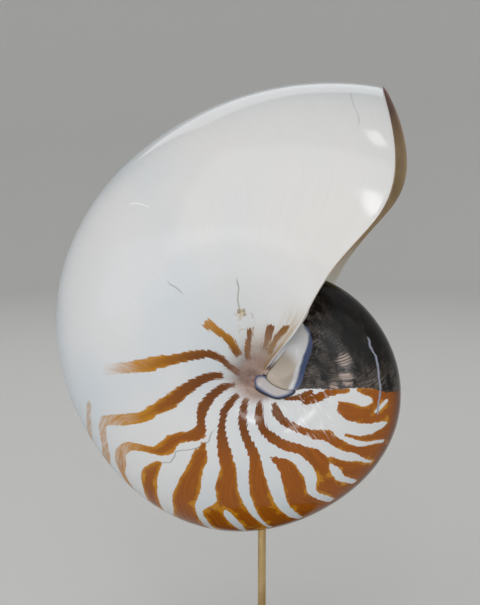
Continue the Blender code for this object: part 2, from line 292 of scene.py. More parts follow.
def withPad(width, x, z, pad, weight):
    centreX, centreZ, halfLength, halfWidth, tilt, height, edge = pad
    cosine, sine = math.cos(math.radians(tilt)), math.sin(math.radians(tilt))
    x, z = x - centreX, z - centreZ
    reach = np.hypot((x * cosine + z * sine) / halfLength, (z * cosine - x * sine) / halfWidth)
    return width + (height - width) * smoothstep((1.0 - reach) / edge) * weight


def withPads(width, out, angle, weight):
    x, z = out * np.cos(np.radians(angle)), -out * np.sin(np.radians(angle))
    width = withPad(width, x, z, shell["dimple"], 1.0)
    width = withPad(width, x, z, shell["lowerCallus"], weight)
    return withPad(width, x, z, shell["upperCallus"], weight)


def outside(place, angle, pastLip):
    out, width = flank(place, angle, pastLip)
    fadeStart, fadeEnd = shell["callusFade"]
    nearLip = 1.0 - smoothstep((pastLip - fadeStart) / (fadeEnd - fadeStart))
    atHub = smoothstep((np.abs(place) - shell["hubEdge"] + shell["padMerge"]) / shell["padMerge"])
    weight = nearLip + (1.0 - nearLip) * atHub
    return out, np.sign(place) * withPads(np.abs(width), out, angle, weight)


def inside(place, angle, depth):
    # the wall's inner face; the wall thins to nothing where the lip ends at the hub
    step = 0.002
    wholeTurn = np.full_like(place, 360.0)
    out, width = outside(place, angle, wholeTurn)
    ahead = outside(place + step, angle, wholeTurn)
    behind = outside(place - step, angle, wholeTurn)
    alongOut, alongWidth = ahead[0] - behind[0], ahead[1] - behind[1]
    taper = (shell["hubEdge"] - np.abs(place)) / shell["lipTaper"] + depth / shell["lipTaperSweep"]
    offset = shell["wall"] * np.clip(taper, 0.0, 1.0) / np.hypot(alongOut, alongWidth)
    return out - offset * alongWidth, width + offset * alongOut


class ShellMesh:
    # points, and what the materials need to know about each: angle of growth, place, degrees past the lip
    def __init__(self):
        self.points, self.facts, self.faces, self.faceMats = [], [], [], []

    def row(self, points, angle, place, pastLip):
        start = sum(len(part) for part in self.points)
        self.points.append(points)
        self.facts.append(np.stack(np.broadcast_arrays(angle, place, pastLip), axis=-1))
        return list(range(start, start + len(points)))

    def join(self, rows, mat, closed=False):
        faces = gridFaces(rows, closed)
        self.faces += faces
        self.faceMats += [mat] * len(faces)


def chamberRows(skin, shares, firstFloor):
    # the body chamber from the lip inwards: the wall's inner face, and the whorl beneath as its floor
    walls, floors = [], [firstFloor]
    fine = np.linspace(0.0, shell["hubEdge"], 600)
    depths = np.linspace(0.0, 1.0, shell["chamberSteps"] + 1) ** shell["chamberCrowding"]
    for depth in depths * shell["chamberSweep"]:
        curl = 1.0 - smoothstep(np.array(depth / shell["straighten"]))
        moved = math.sin(math.pi / 2 * min(depth / shell["cornerSweep"], 1.0))
        places = shares * (shell["hubEdge"] + (shell["cornerPlace"] - shell["hubEdge"]) * moved)
        angle = shell["lipAngle"] + curl * leadAt(places) - depth
        wallOut, wallWidth = inside(places, angle, depth)
        wallPoints = toSpace(wallOut, wallWidth, angle)
        if depth == 0.0:
            lipInner = wallPoints, angle, places
            continue
        walls.append(skin.row(wallPoints, angle, places, 360.0))
        fineOut = outside(fine, np.full_like(fine, angle[-1] - 360.0), np.zeros_like(fine))[0]
        places = shares * np.interp(-wallOut[-1], -fineOut, fine)
        angle = shell["lipAngle"] + curl * leadAt(places) - depth - 360.0
        out, width = outside(places, angle, np.zeros_like(places))
        fillet = smoothstep((np.abs(shares) - shell["cornerFillet"]) / (1.0 - shell["cornerFillet"]))
        width += np.sign(shares) * (wallWidth[-1] - width[-1]) * fillet
        floor = skin.row(toSpace(out, width, angle)[1:-1], angle[1:-1], places[1:-1], 0.0)
        floors.append([walls[-1][0], *floor, walls[-1][-1]])
    return walls, floors, lipInner


def lipRows(skin, lastRow, lastPoints, inner):
    # the lip's edge, rounded from the outside to the wall's inner face
    innerPoints, angle, places = inner
    middle, half = (lastPoints + innerPoints) / 2, (lastPoints - innerPoints) / 2
    turn = np.radians(angle)
    ahead = np.stack([-np.sin(turn), np.zeros_like(turn), -np.cos(turn)], axis=-1)
    thickness = np.linalg.norm(half, axis=-1, keepdims=True)
    taper = np.clip((shell["hubEdge"] - np.abs(places)) / shell["lipTaper"], 0.0, 1.0)
    bulge = shell["lipBulge"] * taper[:, None]
    rows = [lastRow]
    for step in range(1, shell["lipSteps"] + 1):
        swing = math.pi * step / shell["lipSteps"]
        points = middle + half * math.cos(swing) + ahead * thickness * math.sin(swing) * bulge
        row = skin.row(points[1:-1], angle[1:-1], places[1:-1], 360.0)
        rows.append([lastRow[0], *row, lastRow[-1]])
    return rows


def closeHub(skin, ring, side):
    angles = shell["lipAngle"] + leadAt(np.array(shell["hubEdge"]))
    angles = angles + np.linspace(0.0, 360.0, shell["roundSteps"], endpoint=False)
    edgeOut = flank(np.array(shell["hubEdge"]), np.array(shell["lipAngle"]), np.array(0.0))[0]
    rows = [ring]
    for step in range(1, shell["hubSteps"] + 2):
        out = np.full_like(angles, edgeOut * (1.0 - step / (shell["hubSteps"] + 1)))
        width = withPads(np.full_like(angles, shell["hubHeight"]), out, angles, 1.0)
        points = toSpace(out, side * width, angles)
        if step > shell["hubSteps"]:
            rows.append(skin.row(points[:1], angles[:1] - 360.0, side, 180.0) * len(ring))
        else:
            rows.append(skin.row(points, angles - 360.0, side, 180.0))
    skin.join(rows, 0, closed=True)


def closeSeptum(skin, wall, floor, shares):
    # the last septum, bulging back in the middle, with the small funnel of the siphuncle
    allPoints = np.concatenate(skin.points)
    across = 1.0 - shares**2
    rows = [wall]
    for share in np.linspace(0.0, 1.0, shell["septumSteps"] + 1)[1:-1]:
        arms = allPoints[wall] * (1.0 - share) + allPoints[floor] * share - axis
        offFunnel = np.hypot(shares / shell["funnelWidth"], (share - 0.5) / shell["funnelHeight"])
        funnel = np.exp(-(offFunnel**2))
        dish = shell["septumDish"] * 4.0 * share * (1.0 - share) * across
        back = np.radians(dish + shell["funnelDepth"] * funnel)
        cosine, sine = np.cos(back), np.sin(back)
        points = axis + np.stack([arms[:, 0] * cosine - arms[:, 2] * sine, arms[:, 1],
                                  arms[:, 0] * sine + arms[:, 2] * cosine], axis=-1)
        row = skin.row(points[1:-1], shell["lipAngle"] - shell["chamberSweep"], shares[1:-1], 0.0)
        rows.append([wall[0], *row, wall[-1]])
    skin.join([*rows, floor], 1)


def shellSkin():
    skin = ShellMesh()
    shares = np.linspace(-1.0, 1.0, 2 * shell["flankSteps"] + 1)
    shares = np.sign(shares) * (1.0 - (1.0 - np.abs(shares)) ** shell["hubCrowding"])
    places = shares * shell["hubEdge"]
    whorl = []
    for turn in np.linspace(0.0, 360.0, shell["roundSteps"] + 1):
        angle = shell["lipAngle"] + leadAt(places) - 360.0 + turn
        points = toSpace(*outside(places, angle, np.full_like(angle, turn)), angle)
        if turn == 360.0:
            row = skin.row(points[1:-1], angle[1:-1], places[1:-1], turn)
            whorl.append([whorl[0][0], *row, whorl[0][-1]])
        else:
            whorl.append(skin.row(points, angle, places, turn))
    skin.join(whorl, 0)
    for end, side in ((0, -1.0), (-1, 1.0)):
        closeHub(skin, [row[end] for row in whorl[:-1]], side)
    walls, floors, lipInner = chamberRows(skin, shares, whorl[0])
    lip = lipRows(skin, whorl[-1], points, lipInner)
    for rows in (lip, [lip[-1], *walls], floors):
        skin.join(rows, 1)
    closeSeptum(skin, walls[-1], floors[-1], shares)
    return skin


# the shell's markings

# Each stripe: place, then the angles of growth where it begins and ends there. They are broad near the
# venter, thin and ragged near the hub, and forked where the mantle laid two of them into one.
markings = dict(
    stripes=(
        ((0.20, 6, 13), (0.27, 6, 10), (0.33, 5, 9), (0.40, 5, 7)),
        ((0.10, 12, 20), (0.20, 13, 20), (0.27, 11, 22), (0.35, 15.5, 24.5), (0.45, 14.5, 25),
         (0.51, 16, 23)),
        ((0.10, 20, 28), (0.15, 20, 28), (0.20, 24, 29), (0.25, 27, 31), (0.30, 30, 32.5), (0.35, 31.5, 33),
         (0.41, 33, 34.5)),
        ((0.10, 29, 38), (0.20, 31, 39), (0.30, 36, 39), (0.35, 37, 41.5), (0.45, 37.5, 43), (0.50, 36, 43.5),
         (0.55, 40, 49), (0.60, 46, 51), (0.65, 49, 56), (0.75, 58, 67), (0.80, 59, 72), (0.85, 62, 69)),
        ((0.10, 39, 48), (0.20, 41, 50), (0.25, 42, 51), (0.30, 45, 49.5), (0.40, 48.5, 51)),
        ((0.10, 51, 61), (0.20, 53, 62), (0.25, 55, 64.5), (0.30, 55, 65), (0.35, 54, 61), (0.40, 50, 60),
         (0.45, 50.5, 60), (0.50, 52, 61), (0.55, 57, 64), (0.58, 59, 69), (0.65, 69, 78), (0.70, 75, 85),
         (0.75, 83, 91), (0.80, 87, 97), (0.85, 88, 100), (0.90, 91, 97)),
        ((0.10, 63, 75), (0.20, 66, 77), (0.30, 69.5, 79), (0.40, 67, 78.5), (0.50, 68.5, 78), (0.55, 72, 80),
         (0.59, 81, 83)),
        ((0.10, 77, 87), (0.20, 81, 90), (0.30, 84, 92.5), (0.40, 86, 95), (0.50, 87.5, 96.5), (0.60, 90, 97),
         (0.65, 91.5, 99), (0.75, 103, 111), (0.85, 114, 125), (0.90, 121, 131)),
        ((0.10, 89, 97), (0.20, 91.5, 98), (0.30, 96, 103), (0.35, 98, 109), (0.45, 102, 112.5),
         (0.55, 104, 113), (0.65, 112, 122), (0.75, 127, 133), (0.80, 134, 143), (0.89, 140, 150)),
        ((0.10, 98, 107), (0.20, 102, 110.5), (0.28, 106, 114), (0.33, 106, 111), (0.37, 103, 108)),
        ((0.10, 109, 122), (0.20, 114, 123), (0.30, 117.5, 126.5), (0.40, 118, 128), (0.50, 121.5, 129),
         (0.58, 123, 132), (0.60, 126, 131), (0.64, 131, 132)),
        ((0.10, 125, 131), (0.20, 129, 135), (0.30, 133.5, 141), (0.35, 136, 141.5), (0.42, 138.5, 140.5)),
        ((0.06, 132, 136.5), (0.10, 136, 139.5), (0.16, 140.5, 143.5), (0.20, 144, 148),
         (0.25, 145.5, 151.5), (0.30, 149.5, 153), (0.35, 150, 153.5), (0.40, 147, 151), (0.45, 141, 146),
         (0.50, 139, 147), (0.55, 141, 148), (0.60, 139, 146), (0.63, 133, 143), (0.68, 135, 143),
         (0.72, 145, 155), (0.80, 157, 166), (0.86, 165, 175), (0.90, 167, 173)),
        ((0.10, 147, 151), (0.20, 151, 155), (0.25, 156, 161), (0.30, 162, 165), (0.40, 160, 164.5),
         (0.50, 159, 163.5), (0.58, 161, 167), (0.65, 162, 171), (0.75, 172, 181), (0.82, 182, 190),
         (0.87, 186, 194)),
        ((0.36, 180.5, 182.5), (0.40, 181, 184), (0.46, 182, 185.5), (0.55, 184, 189), (0.60, 185, 192),
         (0.70, 193, 199), (0.77, 201, 209), (0.82, 210, 217), (0.86, 211, 218), (0.90, 201, 212),
         (0.92, 191, 204)),
        ((0.10, 156, 158.5), (0.19, 161, 164), (0.23, 165, 167.5), (0.27, 169.5, 171.5)),
        ((0.74, 228, 235), (0.80, 234, 239), (0.85, 236, 245), (0.89, 231, 242)),
        ((0.83, 264, 268), (0.86, 261, 267), (0.90, 247, 256), (0.92, 238, 249)),
        ((0.82, 284, 288), (0.85, 282, 290), (0.89, 283, 287)),
        ((0.81, 297, 300), (0.87, 291, 296), (0.90, 290, 294)),
        ((0.45, 6, 8), (0.52, 6.5, 10), (0.58, 8, 14), (0.62, 11, 19), (0.66, 15, 24), (0.72, 23, 31)),
        ((0.68, 11, 14), (0.72, 15, 24), (0.76, 23, 31), (0.80, 31, 37), (0.83, 38, 43)),
    ),
    slits=(((0.18, 9, 10.5), (0.22, 11, 14.5), (0.28, 16, 18)),),  # white left open in the pigment
    bendPlace=0.012,  # how softly the stripes turn at their corners
    openEnd=0.11,  # a stripe that begins nearer the venter than this runs on into it
    # how far from the venter the pigment runs together, over the angle of growth
    venterEnd=((-20.0, 0.28), (11.0, 0.30), (14.0, 0.27), (18.0, 0.18), (23.0, 0.13), (60.0, 0.13),
               (100.0, 0.10), (135.0, 0.09), (165.0, 0.02), (175.0, -0.05)),
    pigmentFrom=-25.0,  # the film covers all that is older
    oliveFrom=138.0, oliveTo=172.0,  # towards here the pigment near the venter turns olive and thins out
    filmEdge=((0.0, 7), (0.20, 7), (0.25, 6), (0.30, 5), (0.40, 5), (0.50, 6.5), (0.55, 7.5), (0.62, 8.5),
              (0.68, 10), (0.74, 13), (0.77, 17), (0.80, 20), (0.83, 24), (1.0, 30)),
    filmRim=((-80, 0.36), (-55, 0.48), (-45, 0.51), (-40, 0.55), (-30, 0.65), (-20, 0.71), (-10, 0.745),
             (0, 0.77), (10, 0.79), (20, 0.80), (30, 0.81)),
    # thin lines on the near side: places over the angle of growth, or angles over the place
    lines=dict(
        scar=("angle", ((-20, 0.205), (-16.5, 0.225), (-11, 0.218), (-6.5, 0.225), (0, 0.240), (6, 0.240),
                        (12, 0.256), (16.5, 0.255))),
        crack=("place", ((0.42, 139), (0.45, 136.5), (0.49, 137), (0.52, 139), (0.58, 133), (0.61, 131),
                         (0.65, 129), (0.69, 132))),
        hairline=("place", ((0.68, 261.5), (0.70, 262), (0.74, 259.5), (0.76, 260))),
        lipCrack=("place", ((0.115, 286.5), (0.15, 287.5), (0.175, 288.3), (0.21, 290.2), (0.24, 291))),
        darkScratch=("place", ((0.575, 229.5), (0.59, 230.6), (0.615, 231.5))),
        # a curved line painted white as a glint on a small scratch
        paleScratch=("angle", ((233.5, 0.270), (236, 0.300), (237, 0.325))),
    ),
    lineEnd=1.5,  # mm over which they die out
    # spots on the near side, yellow stains and pale painted glints in the film: angle, place and radius in mm
    stains=((260.5, 0.775, 2.3), (256, 0.82, 1.0), (268, 0.79, 0.8)),
    glintSpots=((-13, 0.44, 3.4), (-1, 0.45, 3.6), (6, 0.54, 2.4)),
    otherSideDrift=(2.5, 3.5), driftFull=0.35,  # degrees that the other side's stripes wander from these
    scratches=dict(centre=(0.020, -0.0195, 0.1195), reach=0.013, full=0.006, tilt=0.95,
                   size=(0.007, 0.02, 0.0009)),  # of one, 0.9 mm wide because real ones are too fine to show
    farOff=9.0,  # mm, for wherever a marking isn't
)


def curveAt(name, t):
    knots, values = np.array(markings[name], float).T
    return np.interp(t, knots, values)


def insideStripe(marks, angle, across, perDegree, perPlace):
    places, starts, ends = np.array(marks, float).T
    nudges = (-markings["bendPlace"], 0.0, markings["bendPlace"])
    start = sum(np.interp(across + nudge, places, starts) for nudge in nudges) / 3
    end = sum(np.interp(across + nudge, places, ends) for nudge in nudges) / 3
    tips = (places[-1] - across) * perPlace
    if places[0] > markings["openEnd"]:
        tips = np.minimum(tips, (across - places[0]) * perPlace)
    return np.minimum(np.minimum(angle - start, end - angle) * perDegree, tips)


def besideLine(name, angle, across, near, perDegree, perPlace):
    # how far off a thin line, in millimetres, and whether between its ends
    over, points = markings["lines"][name]
    knots, values = np.array(points, float).T
    if over == "angle":
        off, along, scale = (across - np.interp(angle, knots, values)) * perPlace, angle, perDegree
    else:
        off, along, scale = (angle - np.interp(across, knots, values)) * perDegree, across, perPlace
    beyond = np.maximum(knots[0] - along, along - knots[-1]) * scale
    return np.where(near, off, markings["farOff"]), 1.0 - smoothstep(beyond / markings["lineEnd"])


def markingFields(angle, place, out):
    # signed distances in millimetres, positive inside each marking, for the materials to sharpen
    near = place <= 0.0
    across = np.abs(place)
    leastRadius = 0.004  # keeps a degree from shrinking to nothing at the hub
    perDegree = 1000.0 * np.radians(np.maximum(out, leastRadius))
    perPlace = 1000.0 * sectionLengths.sum() * venterRadius(angle)
    slow, fast = markings["otherSideDrift"]
    wander = slow * np.sin(angle / 23.0 + 5.0 * across) + fast * np.sin(angle / 11.0 - 9.0 * across + 1.0)
    at = angle + np.where(near, 0.0, wander * smoothstep(across / markings["driftFull"]))
    stripe = np.where(at > markings["pigmentFrom"], (curveAt("venterEnd", at) - across) * perPlace,
                      -markings["farOff"])
    for marks in markings["stripes"]:
        stripe = np.maximum(stripe, insideStripe(marks, at, across, perDegree, perPlace))
    for marks in markings["slits"]:
        stripe = np.minimum(stripe, -insideStripe(marks, at, across, perDegree, perPlace))
    film = np.minimum((curveAt("filmEdge", across) - angle) * perDegree,
                      (curveAt("filmRim", angle) - across) * perPlace)
    fields = dict(stripe=stripe, film=np.clip(film, -30.0, 30.0))
    for name in markings["lines"]:
        fields[name], fields[name + "Span"] = besideLine(name, angle, across, near, perDegree, perPlace)
    for name in ("stains", "glintSpots"):
        fields[name] = np.full_like(angle, -markings["farOff"])
        for spotAngle, spotPlace, radius in markings[name]:
            spot = radius - np.hypot((angle - spotAngle) * perDegree, (across - spotPlace) * perPlace)
            fields[name] = np.maximum(fields[name], np.where(near, spot, -markings["farOff"]))
    return fields


def shellPiece(mats):
    skin = shellSkin()
    points = np.concatenate(skin.points)
    angle, place, pastLip = np.concatenate(skin.facts).T
    x, z = points[:, 0] - axis[0], points[:, 2] - axis[2]
    out = np.hypot(x, z)
    byHub = out < shell["lobeReach"]
    newest = (pastLip > shell["lobeSweep"]) & (np.abs(place) < shell["hubEdge"] - shell["lobeBand"])
    lobes = {}
    for name in ("upperLobe", "lowerLobe"):
        lobes[name] = np.full_like(out, -markings["farOff"])
        lobes[name][byHub] = 1000.0 * insideOutline(x[byHub], z[byHub], np.array(shell[name]) / 1000.0)
        lobes[name][newest] = -markings["farOff"]
    raised = np.maximum(lobes["upperLobe"], lobes["lowerLobe"]) / 1000.0
    rise = shell["lobeRise"] * smoothstep(raised / shell["lobeEdge"]) * (pastLip < shell["lobeSweep"])
    points[:, 1] += np.sign(points[:, 1]) * rise
    piece = newPiece("shellGrown", points, skin.faces, mats, sharpAngle=60.0)
    piece.data.polygons.foreach_set("material_index", skin.faceMats)
    fields = dict(angle=angle, place=place, pastLip=pastLip, **markingFields(angle, place, out), **lobes)
    for name, values in fields.items():
        attribute = piece.data.attributes.new(name, "FLOAT", "POINT")
        attribute.data.foreach_set("value", values.astype(np.float32))
    drillForRod(piece)
    return piece


def drillForRod(piece):
    radius = rodRadius + rodHole["clearance"]
    top, bottom = rodHigh[2] + rodHole["headroom"], shellLow[2] - 0.01
    profile = [(0.0, bottom), (radius, bottom), (radius, top), (0.0, top)]
    cutter = turned("rodHoleCutter", profile, rodHole["steps"], [])
    drill = piece.modifiers.new("rod hole", "BOOLEAN")
    drill.operation = "DIFFERENCE"
    drill.solver = "EXACT"
    drill.object = cutter
    graph = bpy.context.evaluated_depsgraph_get()
    drilled = bpy.data.meshes.new_from_object(piece.evaluated_get(graph))
    piece.modifiers.clear()
    piece.data = drilled
    bpy.data.objects.remove(cutter, do_unlink=True)


# the shell's materials

paint = dict(
    # the grey-blue towards the venter is painted shade of the shell's rim
    white="#e4e4e4", whiteWarm="#e6e2dd", whiteCool="#d9dfe3", venterShade="#c6ced4", growthLine="#b9b4ac",
    brown="#a4590f", brownDark="#643814", ochre="#c4861c", olive="#a3823c",
    hub="#ae9183", hubDark="#7d5a4b", hubTan="#b89c80", stain="#c8a258", stainEdge="#6d5f3c",
    # the white for scratches is a painted glint
    lipGold="#a8843f", line="#26252a", scratchAndGlint="#ffffff",
    # the film's grey is partly a painted sheen, and its pale pinkish brown a painted glint
    film="#050404", filmBrown="#2c2420", filmGrey="#857a72", filmGlint="#b39e94", scar="#9ea3b4",
    callus="#c2b5a6", callusWhite="#eaeaec", callusGrey="#cbc5c4", callusBlue="#525f86", callusSeam="#6e5a35",
    pearl=((0.35, "#e4dcd4"), (0.50, "#eae8ea"), (0.65, "#e8dcd4")),
    # the brown lining behind the lip is painted shade
    pearlShaded=((0.40, "#94765c"), (0.60, "#b4967a")),
)
# noises that follow the growth: how many to a degree along it and to a millimetre across it, their detail
# and their roughness
grain = dict(growth=(1.6, 0.03, 4.0, 0.5), tearing=(0.30, 0.40, 3.0, 0.6), patches=(0.09, 0.16, 4.0, 0.6),
             ripples=(0.9, 0.12, 3.0, 0.6), rays=(0.16, 0.02, 4.0, 0.7))
# settings that many nodes share
smooth = dict(interpolation_type="SMOOTHSTEP")
rgba = dict(data_type="RGBA")
times = dict(operation="MULTIPLY")
timesPlus = dict(operation="MULTIPLY_ADD")


def aragonite():
    # Aragonite laid down by the animal in thin layers and left glossy: white porcelain that drifts between
    # warm and cool, pigment stripes with torn edges, a black film by the mouth and a waxy callus.
    mat, add = newMaterial("aragoniteGrownGlossy")
    names = ["angle", "place", "pastLip", "stripe", "film", "upperLobe", "lowerLobe", "stains", "glintSpots"]
    names += [name + end for name in markings["lines"] for end in ("", "Span")]
    fact = {name: add("Attribute", output="Fac", attribute_name=name) for name in names}
    angle, pastLip, stripe, film = fact["angle"], fact["pastLip"], fact["stripe"], fact["film"]
    upper, lower = fact["upperLobe"], fact["lowerLobe"]
    across = add("Math", [fact["place"]], operation="ABSOLUTE")
    side = add("Math", [fact["place"], 100.0], **times)  # about a millimetre a unit
    where = add("TexCoord", output="Object")
    grown = add("CombineXYZ", [pastLip, side])

    clouds = add("TexNoise", [where, 18.0, 2.0])  # 50 mm
    blotch = add("TexNoise", [where, 150.0, 3.0, 0.6])  # 7 mm
    specks = add("TexNoise", [where, 700.0, 2.0, 0.6])  # 1.4 mm
    noises = {}
    for name, (along, aside, detail, roughness) in grain.items():
        stretched = add("Mapping", {"Vector": grown, "Scale": (along, aside, 1.0)})
        noises[name] = add("TexNoise", [stretched, 1.0, detail, roughness])
    growth, tearing, patches = noises["growth"], noises["tearing"], noises["patches"]
    ripples, rays = noises["ripples"], noises["rays"]

    cool = add("MapRange", [clouds, 0.38, 0.62], **smooth)
    colour = add("Mix", [cool, paint["whiteCool"], paint["white"]], **rgba)
    # warmer towards the lip, growth lines, and greying towards the venter as painted shade of the rim
    for over, start, full, strength, tint in ((pastLip, 250.0, 350.0, 0.6, "whiteWarm"),
                                              (growth, 0.4, 0.7, 0.05, "growthLine"),
                                              (across, 0.22, 0.0, 0.8, "venterShade")):
        amount = add("MapRange", [over, start, full, 0.0, strength], **smooth)
        colour = add("Mix", [amount, colour, paint[tint]], **rgba)

    # stripes: their edges toothed where growth paused, most towards the hub, and faint where they end
    fading = add("MapRange", [angle, markings["oliveFrom"], markings["oliveTo"]], **smooth)
    byVenter = add("MapRange", [across, 0.42, 0.14], **smooth)
    olive = add("Math", [fading, byVenter], **times)
    pause = add("Math", [blotch, 1.6, add("Math", [angle, 0.30], **times)], **timesPlus)
    tooth = add("Math", [add("Math", [pause, 0.5], operation="PINGPONG"), 0.25], operation="SUBTRACT")
    toothSize = add("MapRange", [across, 0.38, 0.66, 0.20, 1.05])
    tearSize = add("MapRange", [across, 0.40, 0.75, 1.2, 1.6])
    torn = add("Math", [add("Math", [tearing, 0.5], operation="SUBTRACT"), tearSize, stripe], **timesPlus)
    torn = add("Math", [tooth, toothSize, torn], **timesPlus)
    edge = add("Math", [torn, add("MapRange", [fading, 0.0, 1.0, 1.0, 0.5])], **times)
    amount = add("MapRange", [edge, -0.30, -0.02], **smooth)
    byHub = add("MapRange", [across, 0.48, 0.82], **smooth)
    ochreLevel = add("MapRange", [angle, 70.0, 170.0, 4.6, 1.6])
    depth = add("Math", [blotch, ochreLevel, torn], **timesPlus)
    depth = add("Math", [byHub, 2.0, depth], **timesPlus)
    pools = add("TexNoise", [where, 85.0, 4.0, 0.7])  # 12 mm
    pale = add("MapRange", [pools, 0.48, 0.70, 0.0, -4.2], **smooth)
    depth = add("Math", [pale, add("MapRange", [across, 0.45, 0.30], **smooth), depth], **timesPlus)
    ochre = add("MapRange", [depth, 0.8, 3.2], **smooth)
    streak = add("MapRange", [growth, 0.38, 0.72, 0.0, 0.5], **smooth)
    underneath = add("MapRange", [across, 0.20, 0.05, 0.0, 0.9], **smooth)
    dark = add("Math", [byHub, 0.8], **times)
    for other in (streak, underneath):
        dark = add("Math", [dark, other], operation="MAXIMUM")
    core = add("Mix", [dark, paint["brown"], paint["brownDark"]], **rgba)
    pigment = add("Mix", [ochre, paint["ochre"], core], **rgba)
    pigment = add("Mix", [olive, pigment, paint["olive"]], **rgba)
    # the later ones end in ochre, then hatched and thin, or not at all; the small ones by the lip stay whole
    ends = add("Math", [across, 100.0, add("Math", [angle, -0.45], **times)], **timesPlus)
    fromAngle = add("MapRange", [angle, 138.0, 152.0])
    toAngle = add("MapRange", [angle, 240.0, 225.0])
    faint = add("MapRange", [ends, -12.0, -34.0, 0.0, 0.9], **smooth)
    for within in (fromAngle, add("MapRange", [angle, 262.0, 245.0])):
        faint = add("Math", [faint, within], **times)
    pigment = add("Mix", [faint, pigment, paint["ochre"]], **rgba)
    hatch = add("MapRange", [ends, -22.0, -40.0], **smooth)
    for within in (fromAngle, toAngle, add("MapRange", [across, 0.09, 0.20])):
        hatch = add("Math", [hatch, within], **times)
    thin = add("Mix", [hatch, 1.0, add("MapRange", [ripples, 0.35, 0.65, 0.45, 0.95], **smooth)])
    lost = add("MapRange", [ends, -30.0, -43.0])
    for within in (add("MapRange", [angle, 172.0, 178.0]), toAngle):
        lost = add("Math", [lost, within], **times)
    thin = add("Mix", [lost, thin, 0.0])
    for share in (add("MapRange", [olive, 0.0, 1.0, 1.0, 0.55]), thin):
        amount = add("Math", [amount, share], **times)
    colour = add("Mix", [amount, colour, pigment], **rgba)

    # the hub's pinkish brown, in rays
    rayed = add("Math", [rays, 0.05, across], **timesPlus)
    beforeLip = add("MapRange", [angle, 235.0, 280.0, 0.0, 0.6], **smooth)
    tanned = add("Math", [add("MapRange", [rayed, 0.82, 0.93], **smooth), beforeLip], **times)
    colour = add("Mix", [tanned, colour, paint["hubTan"]], **rgba)
    hubAmount = add("MapRange", [rayed, 0.885, 0.965, 0.0, 0.92], **smooth)
    hubShade = add("MapRange", [blotch, 0.42, 0.66, 0.0, 0.8], **smooth)
    hubColour = add("Mix", [hubShade, paint["hub"], paint["hubDark"]], **rgba)
    colour = add("Mix", [hubAmount, colour, hubColour], **rgba)

    # yellow stains with their hairline, two cracks and two scratches, the white one a painted glint
    stained = add("Math", [specks, 6.0, fact["stains"]], **timesPlus)
    stainAmount = add("MapRange", [stained, 2.6, 5.2, 0.0, 0.75], **smooth)
    stainEdge = add("MapRange", [specks, 0.55, 0.66])
    stainColour = add("Mix", [stainEdge, paint["stain"], paint["stainEdge"]], **rgba)
    colour = add("Mix", [stainAmount, colour, stainColour], **rgba)
    for name, ink, strength in (("hairline", "stainEdge", 0.55), ("crack", "line", 0.45),
                                ("lipCrack", "line", 0.2), ("darkScratch", "line", 0.4),
                                ("paleScratch", "scratchAndGlint", 0.9)):
        off = add("Math", [fact[name]], operation="ABSOLUTE")
        thread = add("MapRange", [off, 0.35, 0.12, 0.0, strength], **smooth)
        thread = add("Math", [thread, fact[name + "Span"]], **times)
        colour = add("Mix", [thread, colour, paint[ink]], **rgba)

    # golden layers on the last of the lip, by the hub
    lipGold = add("MapRange", [pastLip, 344.0, 359.0])
    for share in (add("MapRange", [across, 0.72, 0.84], **smooth), add("MapRange", [ripples, 0.35, 0.65])):
        lipGold = add("Math", [lipGold, share], **times)
    colour = add("Mix", [lipGold, colour, paint["lipGold"]], **rgba)

    # the black film, greyer and streaked along its edge, partly wear and partly a painted sheen, with pale
    # painted glints in spots and a pale scar across it
    ragged = add("Math", [specks, 1.0, film], **timesPlus)
    filmAmount = add("MapRange", [ragged, 0.3, 0.7], **smooth)
    brownish = add("MapRange", [patches, 0.42, 0.66, 0.0, 0.5], **smooth)
    filmColour = add("Mix", [brownish, paint["film"], paint["filmBrown"]], **rgba)
    # grey along the film's edge: partly wear and partly a painted sheen
    wornAndSheen = add("MapRange", [film, 13.0, 1.5, 0.03, 0.85], **smooth)
    for share in (add("MapRange", [patches, 0.38, 0.66]), add("MapRange", [ripples, 0.35, 0.62])):
        wornAndSheen = add("Math", [wornAndSheen, share], **times)
    filmColour = add("Mix", [wornAndSheen, filmColour, paint["filmGrey"]], **rgba)
    # pale spots in the film are painted glints, streaked along the growth
    glintAmount = add("Math", [patches, 5.0, fact["glintSpots"]], **timesPlus)
    glintAmount = add("MapRange", [glintAmount, 2.6, 4.6], **smooth)
    glintAmount = add("Math", [glintAmount, add("MapRange", [growth, 0.40, 0.62], **smooth)], **times)
    filmColour = add("Mix", [glintAmount, filmColour, paint["filmGlint"]], **rgba)
    colour = add("Mix", [filmAmount, colour, filmColour], **rgba)
    scarred = add("Math", [add("Math", [specks, 1.0, fact["scar"]], **timesPlus), 0.5], operation="SUBTRACT")
    scar = add("MapRange", [add("Math", [scarred], operation="ABSOLUTE"), 0.55, 0.2, 0.0, 0.9], **smooth)
    scar = add("Math", [scar, fact["scarSpan"]], **times)
    colour = add("Mix", [scar, colour, paint["scar"]], **rgba)

